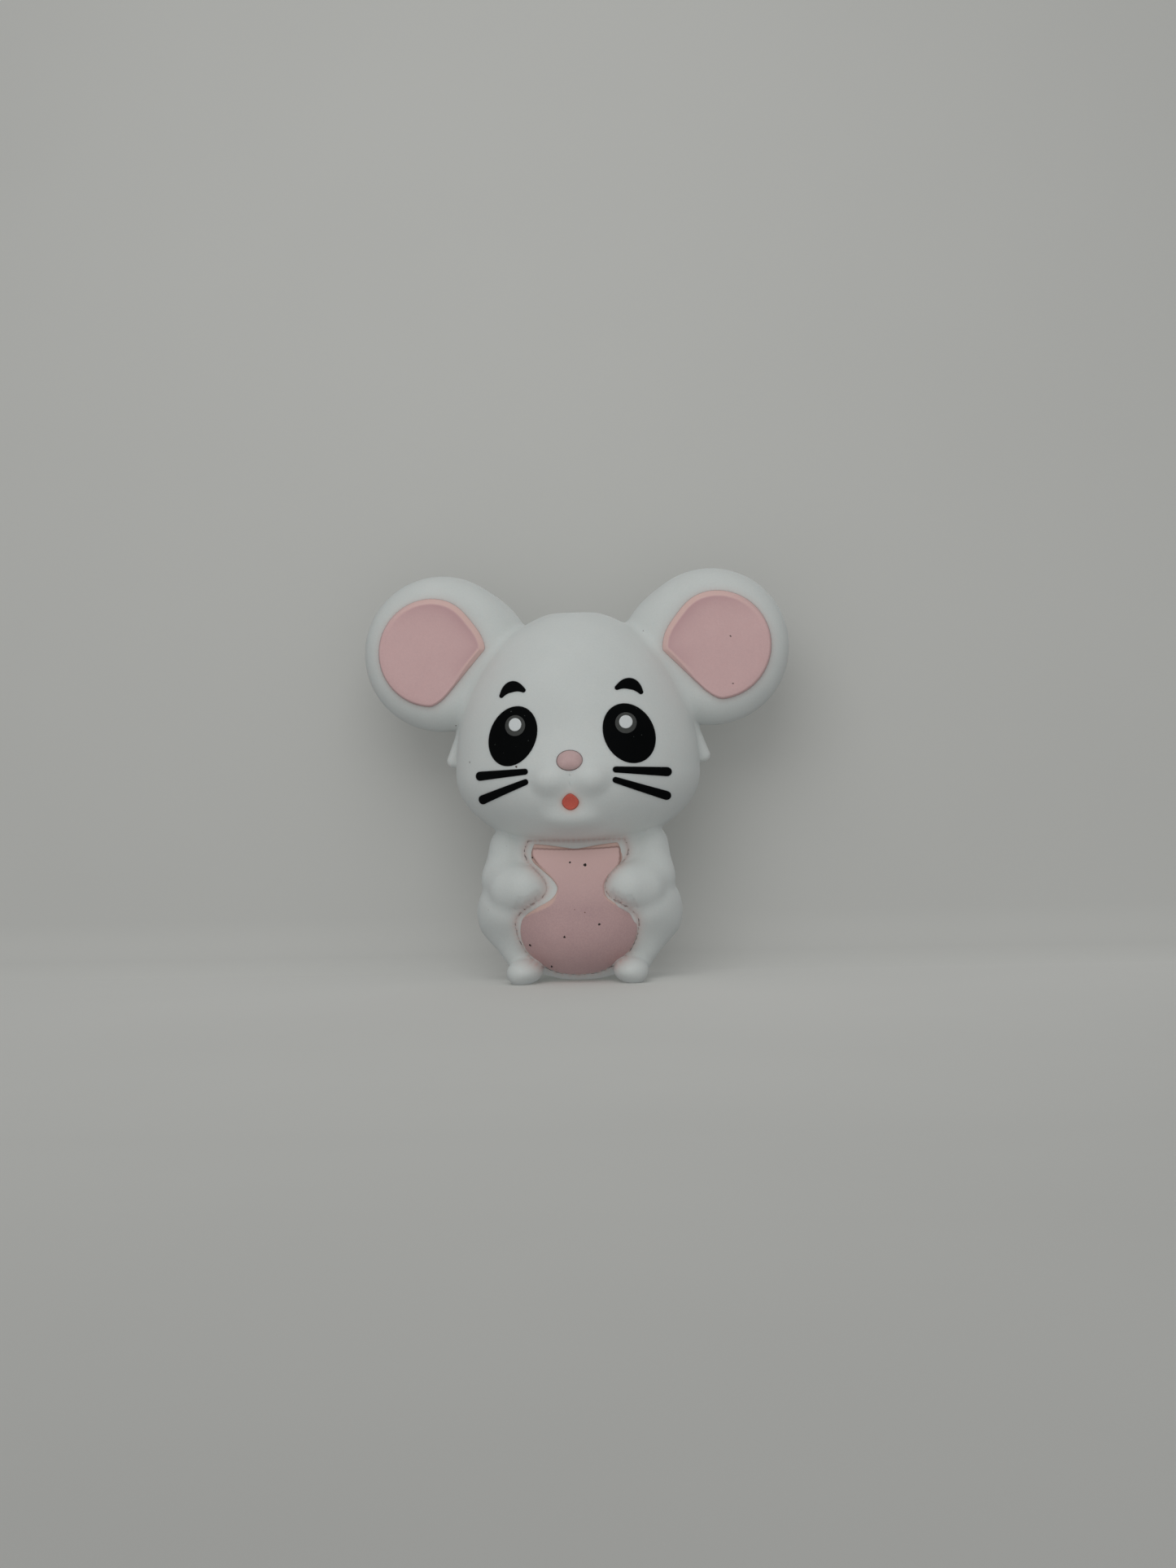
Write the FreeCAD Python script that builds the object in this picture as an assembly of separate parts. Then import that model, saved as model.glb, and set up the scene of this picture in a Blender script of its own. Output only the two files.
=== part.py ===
# Silicone focal bead in the shape of a sitting mouse, threaded from its seat to the top of its head.
# Frame: origin on the axis of the threading hole at the seat, +Z up, the face looks along -Y, sizes in mm.
import FreeCAD, Part
import math
import os

os.makedirs("parts", exist_ok=True)

# Driving dimensions of the whole bead
width_over_ears = 30.0
height_to_head_top = 25.45

# Head and torso, each an egg: half sizes at its widest level, and how far it reaches above and below
head_half = (8.55, 6.85)
head_widest_z = 14.3
head_top_of_egg = 25.9
head_drop = 5.3
torso_half = (6.4, 4.95)
torso_widest_z = 4.4
torso_rise = 9.5
torso_drop = 4.75

# Threading hole
bore_radius = 1.25

# Ears: round discs with a rolled edge
ear_radius = 5.5
ear_x = width_over_ears / 2 - ear_radius
ear_z = 22.95
ear_thickness = 4.6
ear_front_y = -1.2
ear_roll = 1.9
ear_root_centre = (6.9, 1.1, 22.2)
ear_root_half = (3.9, 1.9, 4.8)

# Pink inlays of the ears: a round cut by a chord on the side of the head
ear_inlay_radius = 3.7
ear_inlay_x = 9.95
ear_inlay_chord = 3.2
ear_inlay_chord_angle = 220.0
ear_inlay_depth = 0.8

# Pocket depths below the skin
inlay_depth = 0.55
eye_ring_depth = 0.30
eye_glint_depth = 0.15
belly_depth = 0.7
belly_proud = 0.25

# Face features, as distances from the middle plane and heights above the seat
eye_x = 3.95
eye_z = 16.85
eye_long = 2.08
eye_short = 1.65
eye_lean = 25.0
eye_ring_x = 3.75
eye_ring_z = 17.55
eye_ring_radius = 0.72
eye_glint_radius = 0.42
brow_x = 3.9
brow_z = 20.15
brow_arc_radius = 1.15
brow_half_angle = 52.0
brow_lean = 10.0
brow_thickness = 0.5
whisker_inner_radius = 0.21
whisker_outer_radius = 0.31
whiskers = {
    "upper": ((3.05, 14.42), (6.4, 14.2)),
    "lower": ((3.03, 13.72), (6.3, 12.58)),
}
nose_z = 15.1
nose_half_width = 0.9
nose_half_height = 0.72
nose_half_depth = 0.75
mouth_z = 12.3
mouth_half_width = 0.54
mouth_half_height = 0.52

# Rounded lumps: centre, then half sizes
muzzle_centre = (0.0, -4.2, 13.6)
muzzle_half = (4.3, 4.1, 3.0)
cheek_centre = (1.2, -7.0, 13.85)
cheek_half = (1.45, 1.4, 1.22)
chin_centre = (0.0, -6.1, 11.5)
chin_half = (2.0, 1.15, 0.9)
thigh_centre = (4.65, -1.4, 5.0)
thigh_half = (2.42, 3.2, 2.4)
foot_centre = (3.72, -4.2, 0.95)
foot_half = (1.3, 2.2, 1.05)

# Lower leg, a rod that narrows from the knee to the ankle
knee = (4.85, -1.5, 4.0)
knee_radius = 1.98
ankle = (3.95, -2.4, 1.5)
ankle_radius = 1.1

# Arm as a chain of rounded rods: shoulder, elbow, wrist, hand
arm_joints = ((4.65, -0.9, 9.15), (4.85, -2.1, 7.0), (4.3, -3.5, 6.35), (3.6, -4.1, 6.4))
arm_radii = (1.6, 1.75, 1.65, 1.6)

# Cheek tuft: a small flap on the side of the head, its end rounded
tuft_root = (7.35, 0.5, 17.6)
tuft_tip = (8.8, 0.55, 15.35)
tuft_root_radius = 1.05
tuft_tip_radius = 0.5

FRONT = -14.0
SIDES = {"left": -1, "right": 1}


def vec(x, y, z):
    return FreeCAD.Vector(x, y, z)


def ellipsoid(centre, half, inset=0.0):
    """Rounded lump with the given half sizes, all reduced by the inset."""
    ball = Part.makeSphere(1.0)
    stretch = FreeCAD.Matrix()
    stretch.scale(half[0] - inset, half[1] - inset, half[2] - inset)
    lump = ball.transformGeometry(stretch)
    lump.translate(vec(*centre))
    return lump


def egg(centre, half, rise, drop, inset=0.0):
    """Egg-like solid: half sizes in X and Y at the widest level, then its rise above and drop below."""
    upper = Part.makeSphere(1.0, vec(0, 0, 0), vec(0, 0, 1), 0, 90, 360)
    lower = Part.makeSphere(1.0, vec(0, 0, 0), vec(0, 0, 1), -90, 0, 360)
    grow = FreeCAD.Matrix()
    grow.scale(half[0] - inset, half[1] - inset, rise - inset)
    sink = FreeCAD.Matrix()
    sink.scale(half[0] - inset, half[1] - inset, drop - inset)
    solid = upper.transformGeometry(grow).fuse(lower.transformGeometry(sink))
    solid.translate(vec(*centre))
    return solid


def head_form(inset=0.0):
    rise = head_top_of_egg - head_widest_z
    return egg((0, 0, head_widest_z), head_half, rise, head_drop, inset)


def torso_form(inset=0.0):
    return egg((0, 0, torso_widest_z), torso_half, torso_rise, torso_drop, inset)


def rod(start, start_radius, end, end_radius):
    """Rounded rod between two points, thicker or thinner at one end."""
    a = vec(*start)
    b = vec(*end)
    step = b - a
    balls = Part.makeSphere(start_radius, a).fuse(Part.makeSphere(end_radius, b))
    if abs(start_radius - end_radius) < 0.01:
        shank = Part.makeCylinder(start_radius, step.Length, a, step)
    else:
        shank = Part.makeCone(start_radius, end_radius, step.Length, a, step)
    return balls.fuse(shank)


def arm_form():
    arm = None
    for i in range(len(arm_joints) - 1):
        piece = rod(arm_joints[i], arm_radii[i], arm_joints[i + 1], arm_radii[i + 1])
        arm = piece if arm is None else arm.fuse(piece)
    return arm


def ear_form():
    disc = Part.makeCylinder(ear_radius, ear_thickness, vec(ear_x, ear_front_y, ear_z), vec(0, 1, 0))
    rims = [edge for edge in disc.Edges if isinstance(edge.Curve, Part.Circle)]
    return disc.makeFillet(ear_roll, rims)


def mirrored(shape, sign):
    """The shape itself on the +X side, or its mirror image on the -X side."""
    if sign > 0:
        return shape.copy()
    return shape.mirror(vec(0, 0, 0), vec(1, 0, 0))


def prism(edges):
    """Solid through the whole front of the bead, from an outline drawn in the plane y = 0."""
    face = Part.Face(Part.Wire(edges))
    return face.extrude(vec(0, FRONT, 0))


def round_prism(x, z, radius):
    return prism([Part.makeCircle(radius, vec(x, 0, z), vec(0, 1, 0))])


def eye_prism():
    lean = math.radians(90 + eye_lean)
    centre = vec(eye_x, 0, eye_z)
    long_end = centre + vec(eye_long * math.cos(lean), 0, eye_long * math.sin(lean))
    short_end = centre + vec(-eye_short * math.sin(lean), 0, eye_short * math.cos(lean))
    return prism([Part.Ellipse(long_end, short_end, centre).toShape()])


def arc_point(centre, radius, degrees):
    angle = math.radians(degrees)
    return vec(centre[0] + radius * math.cos(angle), 0, centre[1] + radius * math.sin(angle))


def brow_prism():
    """Arched band with round ends, its outer end lower."""
    centre = (brow_x, brow_z - brow_arc_radius * 0.8)
    middle = 90 - brow_lean
    first = middle - brow_half_angle
    last = middle + brow_half_angle
    half = brow_thickness / 2
    outer = brow_arc_radius + half
    inner = brow_arc_radius - half
    cap = math.degrees(half / brow_arc_radius)
    corners = [arc_point(centre, outer, first), arc_point(centre, outer, last),
               arc_point(centre, inner, last), arc_point(centre, inner, first)]
    return prism([
        Part.Arc(corners[0], arc_point(centre, outer, middle), corners[1]).toShape(),
        Part.Arc(corners[1], arc_point(centre, brow_arc_radius, last + cap), corners[2]).toShape(),
        Part.Arc(corners[2], arc_point(centre, inner, middle), corners[3]).toShape(),
        Part.Arc(corners[3], arc_point(centre, brow_arc_radius, first - cap), corners[0]).toShape(),
    ])


def whisker_prism(inner_end, outer_end):
    """Tapered stroke with round ends."""
    along = math.degrees(math.atan2(outer_end[1] - inner_end[1], outer_end[0] - inner_end[0]))
    a = [arc_point(inner_end, whisker_inner_radius, along + turn) for turn in (90, 180, 270)]
    b = [arc_point(outer_end, whisker_outer_radius, along + turn) for turn in (-90, 0, 90)]
    return prism([
        Part.Arc(a[0], a[1], a[2]).toShape(),
        Part.makeLine(a[2], b[0]),
        Part.Arc(b[0], b[1], b[2]).toShape(),
        Part.makeLine(b[2], a[0]),
    ])


def mouth_prism():
    """Drop with a point at the top and a round bottom."""
    w = mouth_half_width
    h = mouth_half_height
    top = vec(0, 0, mouth_z + h)
    left = vec(-w, 0, mouth_z - 0.2 * h)
    right = vec(w, 0, mouth_z - 0.2 * h)
    return prism([
        Part.makeLine(top, left),
        Part.Arc(left, vec(0, 0, mouth_z - h), right).toShape(),
        Part.makeLine(right, top),
    ])


def belly_prism():
    """Bottle outline: straight top edge, narrow waist between the hands, wide round lower part."""
    side = [(3.3, 9.65), (3.56, 8.7), (2.8, 7.7), (2.0, 6.4), (2.9, 5.4), (4.1, 4.4),
            (4.0, 2.9), (2.7, 1.4), (0.0, 0.95)]
    points = [vec(x, 0, z) for x, z in side]
    points += [vec(-x, 0, z) for x, z in reversed(side[:-1])]
    outline = Part.BSplineCurve()
    outline.interpolate(points)
    return prism([outline.toShape(), Part.makeLine(points[-1], points[0])])


def ear_inlay_prism():
    """Round outline cut straight by a chord that faces the lower side of the head."""
    centre = (ear_inlay_x, ear_z)
    half_gap = math.degrees(math.acos(ear_inlay_chord / ear_inlay_radius))
    first = ear_inlay_chord_angle + half_gap
    last = ear_inlay_chord_angle - half_gap
    start = arc_point(centre, ear_inlay_radius, first)
    middle = arc_point(centre, ear_inlay_radius, ear_inlay_chord_angle + 180)
    end = arc_point(centre, ear_inlay_radius, last)
    return prism([Part.Arc(start, middle, end).toShape(), Part.makeLine(end, start)])


def biggest(shape):
    """The largest solid of a boolean result, which drops loose shavings."""
    return max(shape.Solids, key=lambda solid: solid.Volume)


def raw_body():
    """Whole outer shape of the white moulding, before pockets and hole."""
    lumps = [torso_form(), ellipsoid(muzzle_centre, muzzle_half), ellipsoid(chin_centre, chin_half)]
    for sign in SIDES.values():
        lumps.append(mirrored(ear_form(), sign))
        lumps.append(mirrored(ellipsoid(ear_root_centre, ear_root_half), sign))
        lumps.append(mirrored(ellipsoid(cheek_centre, cheek_half), sign))
        lumps.append(mirrored(rod(tuft_root, tuft_root_radius, tuft_tip, tuft_tip_radius), sign))
        lumps.append(mirrored(arm_form(), sign))
        lumps.append(mirrored(ellipsoid(thigh_centre, thigh_half), sign))
        lumps.append(mirrored(rod(knee, knee_radius, ankle, ankle_radius), sign))
        lumps.append(mirrored(ellipsoid(foot_centre, foot_half), sign))
    whole = head_form().multiFuse(lumps)
    above_crown = Part.makeBox(5, 20, 5, vec(-2.5, -10, height_to_head_top))
    below_seat = Part.makeBox(40, 40, 10, vec(-20, -20, -10))
    return biggest(whole.cut([below_seat, above_crown]))


def face_core(inset):
    """Head and muzzle reduced all over: the floor of the pockets in the face."""
    return head_form(inset).fuse(ellipsoid(muzzle_centre, muzzle_half, inset))


nodes = {}
body = raw_body()


def inlay(name, tool, proud_skin=None):
    """Cuts the tool's space out of the body and keeps what it took away as a piece of its own."""
    global body
    skin = body if proud_skin is None else proud_skin
    nodes[name] = biggest(skin.common(tool))
    body = biggest(body.cut(tool))


# Face pockets, the same depth all over
deep_core = face_core(inlay_depth)
ring_core = face_core(eye_ring_depth)
glint_core = face_core(eye_glint_depth)
for side, sign in SIDES.items():
    inlay("eye_" + side, mirrored(eye_prism(), sign).cut(deep_core))
    inlay("brow_" + side, mirrored(brow_prism(), sign).cut(deep_core))
    for level, (inner_end, outer_end) in whiskers.items():
        stroke = mirrored(whisker_prism(inner_end, outer_end), sign)
        inlay("whisker_" + level + "_" + side, stroke.cut(deep_core))

# Grey disc set in each eye, and a white dot set in each disc
for side, sign in SIDES.items():
    ring_tool = mirrored(round_prism(eye_ring_x, eye_ring_z, eye_ring_radius), sign).cut(ring_core)
    glint_tool = mirrored(round_prism(eye_ring_x, eye_ring_z, eye_glint_radius), sign).cut(glint_core)
    eye = nodes["eye_" + side]
    ring = biggest(eye.common(ring_tool))
    nodes["eye_" + side] = biggest(eye.cut(ring_tool))
    nodes["eye_glint_" + side] = biggest(ring.common(glint_tool))
    nodes["eye_ring_" + side] = biggest(ring.cut(glint_tool))

# Mouth flush in the muzzle, nose standing half out of it
inlay("mouth", mouth_prism().cut(deep_core))
nose_y = muzzle_centre[1] - muzzle_half[1] + 0.45
nose = ellipsoid((0, nose_y, nose_z), (nose_half_width, nose_half_depth, nose_half_height))
body = biggest(body.cut(nose))
nodes["nose"] = nose

# Ear inlays on a flat floor, a little below the rim
for side, sign in SIDES.items():
    floor = Part.makeBox(40, 20, 40, vec(-20, ear_front_y + ear_inlay_depth, 5))
    inlay("ear_inlay_" + side, mirrored(ear_inlay_prism(), sign).cut(floor))

# Belly panel stands a little proud of the torso
belly_tool = belly_prism().cut(torso_form(belly_depth))
inlay("belly_panel", belly_tool, torso_form(-belly_proud))

# Threading hole from the seat to the crown
bore = Part.makeCylinder(bore_radius, height_to_head_top + 4, vec(0, 0, -2))
body = biggest(body.cut(bore))
nodes["body"] = body

for name, shape in nodes.items():
    shape.exportStep("parts/" + name + ".step")
    print(name, round(shape.Volume, 3), shape.isValid(), len(shape.Solids))
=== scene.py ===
import math

import bmesh
import bpy
import numpy as np
from mathutils import Matrix, Vector


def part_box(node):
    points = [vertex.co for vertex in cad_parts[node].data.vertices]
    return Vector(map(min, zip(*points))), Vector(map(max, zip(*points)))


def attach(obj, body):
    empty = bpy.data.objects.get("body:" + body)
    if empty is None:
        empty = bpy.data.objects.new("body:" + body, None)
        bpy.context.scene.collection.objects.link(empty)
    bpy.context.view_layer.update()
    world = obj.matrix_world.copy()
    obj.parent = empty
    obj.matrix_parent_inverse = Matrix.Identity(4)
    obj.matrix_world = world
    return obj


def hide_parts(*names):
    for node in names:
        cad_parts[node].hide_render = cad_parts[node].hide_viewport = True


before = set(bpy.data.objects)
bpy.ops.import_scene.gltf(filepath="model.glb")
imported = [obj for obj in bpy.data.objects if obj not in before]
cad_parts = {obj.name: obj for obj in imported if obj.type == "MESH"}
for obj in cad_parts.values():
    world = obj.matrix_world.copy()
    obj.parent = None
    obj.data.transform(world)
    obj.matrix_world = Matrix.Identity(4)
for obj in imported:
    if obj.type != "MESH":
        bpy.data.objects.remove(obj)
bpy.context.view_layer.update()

# ------------------------------------------------------------------------------------------
# White moulding: the whole mouse in one soft white silicone casting, head, ears, arms, legs
# and feet. Its lumps are set out one by one, fused by a fine remesh, and the skin is then
# drawn onto one blended surface, as the mould's polished cavity gives it. Sizes in mm.
# ------------------------------------------------------------------------------------------
MM = 0.001
_, ear_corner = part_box("body")
half_span = ear_corner.x / MM
crown_z = 25.45
head_centre = (0.0, 0.0, 14.3)
head_half = (8.55, 6.85)
head_rise, head_drop = 11.4, 5.3
torso_centre = (0.0, 0.0, 4.4)
torso_half = (6.3, 4.95)
torso_rise, torso_drop = 9.5, 4.3
ear_radius, ear_half_depth, ear_roll = 5.5, 2.3, 2.1
ear_centre = (half_span - ear_radius, 1.1, 22.95)

# rounded lumps, each its centre and its half sizes; those with x above 0 are there left and right
muzzle = ((0.0, -4.2, 13.3), (3.9, 3.3, 2.8))
cheek_lobe = ((1.2, -6.88, 13.85), (1.45, 1.38, 1.2))
lower_lip = ((0.0, -6.3, 11.35), (1.7, 1.2, 0.8))
thigh = ((4.65, -1.4, 5.0), (2.42, 3.2, 2.4))
foot = ((3.6, -4.2, 0.80), (1.16, 2.2, 0.86))
toe = ((3.98, -5.2, 0.70), (0.68, 0.95, 0.66))
ear_root = ((6.8, 1.1, 22.2), (3.8, 1.9, 4.6))
tummy = ((0.0, -1.8, 3.3), (4.3, 3.9, 3.1))

# limbs, grooves and tufts are round rods along these points, with a radius at each point
shin_line = ((4.85, -1.5, 4.0), (3.95, -2.4, 1.5))
shin_radii = (1.98, 1.1)
arm_line = ((4.65, -0.9, 9.15), (4.85, -2.1, 7.0), (4.3, -3.5, 6.35), (3.6, -4.1, 6.4))
arm_radii = (1.6, 1.75, 1.65, 1.6)
finger_grooves = (((3.95, -4.85, 5.0), (3.72, -5.58, 5.75)), ((3.35, -5.0, 5.1), (3.2, -5.56, 5.8)),
                  ((2.8, -5.1, 5.4), (2.85, -5.5, 6.0)), ((2.4, -5.0, 5.75), (2.55, -5.28, 6.2)))
tuft_line = ((7.35, 0.5, 17.6), (8.8, 0.55, 15.35))
tuft_radii = (1.05, 0.5)

# how widely the skin is filleted where one lump meets the next
tummy_fillet, muzzle_fillet, cheek_fillet, lip_fillet, neck_fillet = 1.5, 2.6, 0.4, 0.8, 0.35
elbow_fillet, knee_fillet, hip_fillet, toe_fillet, ankle_fillet = 0.5, 0.9, 0.6, 0.6, 0.5
arm_fillet, ear_root_fillet, ear_fillet, tuft_fillet = 0.35, 0.8, 0.7, 0.3
groove_low_radius, groove_high_radius, groove_softness = 0.24, 0.06, 0.3


def lump(p, centre, half):
    """Distance to a rounded lump, near enough for points close to its skin."""
    q = (p - np.array(centre)) / np.array(half)
    size = np.linalg.norm(q, axis=1)
    slope = np.linalg.norm(q / np.array(half), axis=1)
    return size * (size - 1) / np.maximum(slope, 1e-9)


def egg(p, centre, half, rise, drop):
    """Distance to a lump that reaches further up than down."""
    q = p - np.array(centre)
    tall = np.where(q[:, 2] > 0, rise, drop)
    sizes = np.stack([np.full(len(p), half[0]), np.full(len(p), half[1]), tall], axis=1)
    size = np.linalg.norm(q / sizes, axis=1)
    slope = np.linalg.norm(q / sizes**2, axis=1)
    return size * (size - 1) / np.maximum(slope, 1e-9)


def rod(p, start, start_radius, end, end_radius):
    """Distance to a round rod that thins or thickens towards its end."""
    a = np.array(start)
    step = np.array(end) - a
    along = np.clip((p - a) @ step / (step @ step), 0, 1)
    across = np.linalg.norm(p - a - along[:, None] * step, axis=1)
    return across - (start_radius + along * (end_radius - start_radius))


def disc(p, centre, radius, half_depth, roll):
    """Distance to a flat round disc, its axis along Y, with rolled edges."""
    q = p - np.array(centre)
    out = np.hypot(q[:, 0], q[:, 2]) - (radius - roll)
    deep = np.abs(q[:, 1]) - (half_depth - roll)
    outside = np.hypot(np.maximum(out, 0), np.maximum(deep, 0))
    return outside + np.minimum(np.maximum(out, deep), 0) - roll


def melt(a, b, width):
    """Two skins joined with a soft fillet."""
    near = np.clip(1 - np.abs(a - b) / width, 0, 1)
    return np.minimum(a, b) - near * near * width / 4


def carve(a, b, width):
    """Skin a with b taken out of it, the rim of the groove softened."""
    near = np.clip(1 - np.abs(a + b) / width, 0, 1)
    return np.maximum(a, -b) + near * near * width / 4


def mirrored_points(p):
    """The mould is the same left and right, so one half is enough."""
    return np.stack([np.abs(p[:, 0]), p[:, 1], p[:, 2]], axis=1)


def torso_skin(p):
    return melt(egg(p, torso_centre, torso_half, torso_rise, torso_drop), lump(p, *tummy), tummy_fillet)


def head_skin(p):
    m = mirrored_points(p)
    skin = egg(m, head_centre, head_half, head_rise, head_drop)
    skin = melt(skin, lump(m, *muzzle), muzzle_fillet)
    skin = melt(skin, lump(m, *cheek_lobe), cheek_fillet)
    return melt(skin, lump(m, *lower_lip), lip_fillet)


def body_skin(p):
    """Skin of the whole moulding, cut flat at the crown and at the seat."""
    m = mirrored_points(p)
    arm = None
    for i in range(len(arm_line) - 1):
        part = rod(m, arm_line[i], arm_radii[i], arm_line[i + 1], arm_radii[i + 1])
        arm = part if arm is None else melt(arm, part, elbow_fillet)
    for low_end, high_end in finger_grooves:
        arm = carve(arm, rod(m, low_end, groove_low_radius, high_end, groove_high_radius), groove_softness)
    shin = rod(m, shin_line[0], shin_radii[0], shin_line[1], shin_radii[1])
    low = melt(torso_skin(p), melt(lump(m, *thigh), shin, knee_fillet), hip_fillet)
    low = melt(low, melt(lump(m, *foot), lump(m, *toe), toe_fillet), ankle_fillet)
    low = melt(low, arm, arm_fillet)
    head = np.maximum(head_skin(p), p[:, 2] - crown_z)
    ear = melt(disc(m, ear_centre, ear_radius, ear_half_depth, ear_roll), lump(m, *ear_root), ear_root_fillet)
    high = melt(head, ear, ear_fillet)
    high = melt(high, rod(m, tuft_line[0], tuft_radii[0], tuft_line[1], tuft_radii[1]), tuft_fillet)
    whole = melt(high, low, neck_fillet)
    return np.maximum(whole, -p[:, 2])


def slope_of(skin, p, step=0.01):
    """Outward direction of a skin at each point."""
    parts = []
    for axis in range(3):
        shift = np.zeros(3)
        shift[axis] = step
        parts.append((skin(p + shift) - skin(p - shift)) / (2 * step))
    return np.stack(parts, axis=1)


def front_of(skin, x, z, start=-9.5):
    """Y of the first skin met when looking in from the front at each x and z."""
    p = np.stack([x, np.full(len(x), start), z], axis=1)
    for _ in range(32):
        p[:, 1] += 0.9 * skin(p)
    return p[:, 1]


def deselect():
    for o in bpy.context.selected_objects:
        o.select_set(False)


def ball(centre, half):
    bpy.ops.mesh.primitive_uv_sphere_add(segments=48, ring_count=24, radius=1.0, location=centre, scale=half)
    return bpy.context.object


def join(pieces, name):
    deselect()
    for piece in pieces:
        piece.select_set(True)
    bpy.context.view_layer.objects.active = pieces[0]
    if len(pieces) > 1:
        bpy.ops.object.join()
    joined = bpy.context.object
    bpy.ops.object.transform_apply(location=True, rotation=True, scale=True)
    joined.name = name
    joined.data.name = name
    return joined


def apply_modifier(piece, kind, **values):
    modifier = piece.modifiers.new(kind.lower(), kind)
    for key, value in values.items():
        setattr(modifier, key, value)
    deselect()
    piece.select_set(True)
    bpy.context.view_layer.objects.active = piece
    bpy.ops.object.modifier_apply(modifier=modifier.name)


def points_of(piece):
    flat = np.zeros(len(piece.data.vertices) * 3)
    piece.data.vertices.foreach_get("co", flat)
    return flat.reshape(-1, 3)


def move_points(piece, p):
    piece.data.vertices.foreach_set("co", p.astype(np.float32).ravel())
    piece.data.update()


def to_metres(piece):
    piece.data.transform(Matrix.Scale(MM, 4))
    piece.data.update()


def smooth(piece, degrees=38):
    deselect()
    piece.select_set(True)
    bpy.context.view_layer.objects.active = piece
    bpy.ops.object.shade_smooth_by_angle(angle=math.radians(degrees))


def new_group(name, inputs, outputs):
    group = bpy.data.node_groups.new(name, "ShaderNodeTree")
    for label, kind, value in inputs:
        socket = group.interface.new_socket(label, in_out="INPUT", socket_type=kind)
        socket.default_value = value
    for label, kind in outputs:
        group.interface.new_socket(label, in_out="OUTPUT", socket_type=kind)
    return group, group.nodes.new("NodeGroupInput"), group.nodes.new("NodeGroupOutput")


def put(tree, kind, values=(), **settings):
    """New node with its settings and with values or links for its inputs."""
    node = tree.nodes.new(kind)
    for key, value in settings.items():
        setattr(node, key, value)
    for socket, value in dict(values).items():
        if isinstance(value, bpy.types.NodeSocket):
            tree.links.new(value, node.inputs[socket])
        else:
            node.inputs[socket].default_value = value
    return node


# matt moulded skin: cloudy tone, fine grain and shallow dimples
grain_group, given, result = new_group(
    "moulded_grain", [("Grain Size", "NodeSocketFloat", 9000.0)],
    [("Clouds", "NodeSocketFloat"), ("Height", "NodeSocketFloat"), ("Sheen Mask", "NodeSocketFloat")])
here = put(grain_group, "ShaderNodeTexCoord").outputs["Object"]
clouds = put(grain_group, "ShaderNodeTexNoise", {"Vector": here, "Scale": 320.0, "Detail": 3.0})
grain = put(grain_group, "ShaderNodeTexNoise",
            {"Vector": here, "Scale": given.outputs["Grain Size"], "Detail": 2.0, "Roughness": 0.6})
dimples = put(grain_group, "ShaderNodeTexNoise", {"Vector": here, "Scale": 1900.0, "Detail": 2.0})
height = put(grain_group, "ShaderNodeMath", {0: dimples.outputs["Fac"], 1: 0.6, 2: grain.outputs["Fac"]},
             operation="MULTIPLY_ADD")
spread = put(grain_group, "ShaderNodeMapRange",
             {"Value": clouds.outputs["Fac"], "From Min": 0.3, "From Max": 0.7})
fine = put(grain_group, "ShaderNodeMapRange",
           {"Value": grain.outputs["Fac"], "From Min": 0.3, "From Max": 0.7})
tone = put(grain_group, "ShaderNodeMix",
           {"Factor": 0.5, 2: spread.outputs["Result"], 3: fine.outputs["Result"]})
grain_group.links.new(tone.outputs[0], result.inputs["Clouds"])
grain_group.links.new(height.outputs[0], result.inputs["Height"])
grain_group.links.new(dimples.outputs["Fac"], result.inputs["Sheen Mask"])

# dust and lint: ragged specks in some of the cells of a scattered pattern
speck_group, given, result = new_group(
    "loose_specks",
    [("Cells", "NodeSocketFloat", 600.0), ("Share", "NodeSocketFloat", 0.1),
     ("Size", "NodeSocketFloat", 0.1)],
    [("Mask", "NodeSocketFloat")])
here = put(speck_group, "ShaderNodeTexCoord").outputs["Object"]
wobble = put(speck_group, "ShaderNodeTexNoise", {"Vector": here, "Scale": 6000.0})
bend = put(speck_group, "ShaderNodeVectorMath",
           {0: wobble.outputs["Color"], 1: (0.0002, 0.0002, 0.0002), 2: here}, operation="MULTIPLY_ADD")
cells = put(speck_group, "ShaderNodeTexVoronoi", {"Vector": bend.outputs[0], "Scale": given.outputs["Cells"]})
pick = put(speck_group, "ShaderNodeSeparateColor", {"Color": cells.outputs["Color"]})
chosen = put(speck_group, "ShaderNodeMath", {0: pick.outputs["Red"], 1: given.outputs["Share"]},
             operation="LESS_THAN")
reach = put(speck_group, "ShaderNodeMath", {0: pick.outputs["Green"], 1: given.outputs["Size"]},
            operation="MULTIPLY")
inside = put(speck_group, "ShaderNodeMath", {0: cells.outputs["Distance"], 1: reach.outputs[0]},
             operation="LESS_THAN")
mask = put(speck_group, "ShaderNodeMath", {0: inside.outputs[0], 1: chosen.outputs[0]}, operation="MULTIPLY")
speck_group.links.new(mask.outputs[0], result.inputs["Mask"])


def mixed(tree, mask, first, second):
    """Colour that goes from first to second where the mask is."""
    node = put(tree, "ShaderNodeMix", {"Factor": mask, 6: first, 7: second}, data_type="RGBA")
    return node.outputs[2]


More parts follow.
